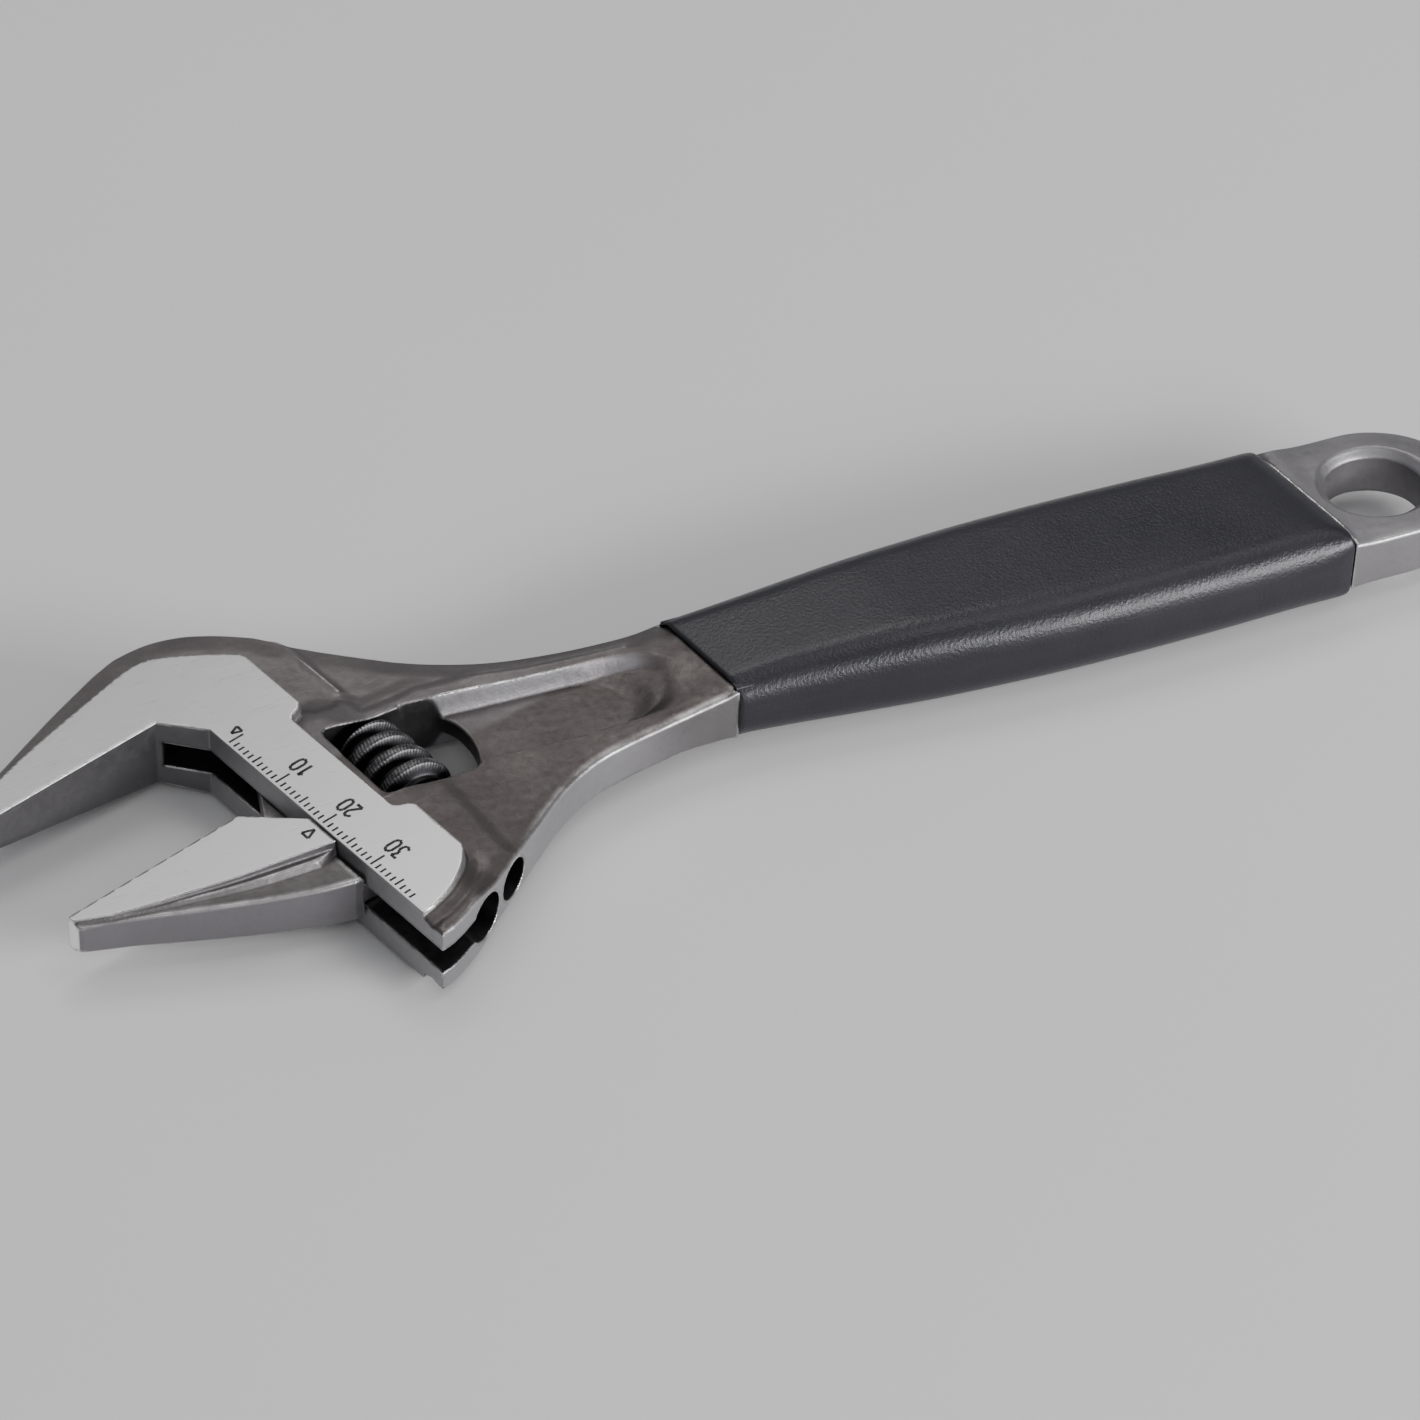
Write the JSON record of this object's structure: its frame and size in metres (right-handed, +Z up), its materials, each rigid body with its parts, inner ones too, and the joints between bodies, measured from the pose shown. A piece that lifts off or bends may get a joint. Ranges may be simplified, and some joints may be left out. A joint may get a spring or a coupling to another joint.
{
  "type": "adjustable wrench",
  "caption": "Wide-opening adjustable wrench: forged head with a fixed jaw, a jaw driven along a slanted track by a thumb worm, and a sleeved handle ending in a hanging ring.",
  "frame": {"origin": "centre of the bounding box in X and Y, on the plane the wrench lies flat on", "axes": "+X along the handle toward the jaws, +Y toward the side of the moving jaw's track end, +Z up, square to the broad faces"},
  "size_m": [0.2148, 0.0686, 0.0132],
  "materials": {
    "forged_steel": "satin",
    "ground_steel": "satin",
    "worm_steel": "satin",
    "pin_steel": "satin",
    "spring_steel": "satin",
    "grip_rubber": "matt"
  },
  "bodies": {
    "wrench_frame": {"frame": "forged_steel", "worm_pin": "pin_steel", "worm_spring": "spring_steel", "grip": "grip_rubber"},
    "moving_jaw": {"jaw": "ground_steel"},
    "thumb_worm": {"worm": "worm_steel"}
  },
  "joints": [
    {"name": "jaw_slide", "type": "slide", "parent": "wrench_frame", "child": "moving_jaw", "axis": [-0.287, 0.9579, 0], "range_m": [-0.0209, 0.017]},
    {"name": "worm_spin", "type": "hinge", "parent": "wrench_frame", "child": "thumb_worm", "pos_m": [0.05213, -0.00093, 0.00662], "axis": [0.287, -0.9579, 0], "range_deg": [-2215, 1803]}
  ],
  "couplings": [
    {"joint": "worm_spin", "follows": "jaw_slide", "rad_per_m": 1848}
  ]
}
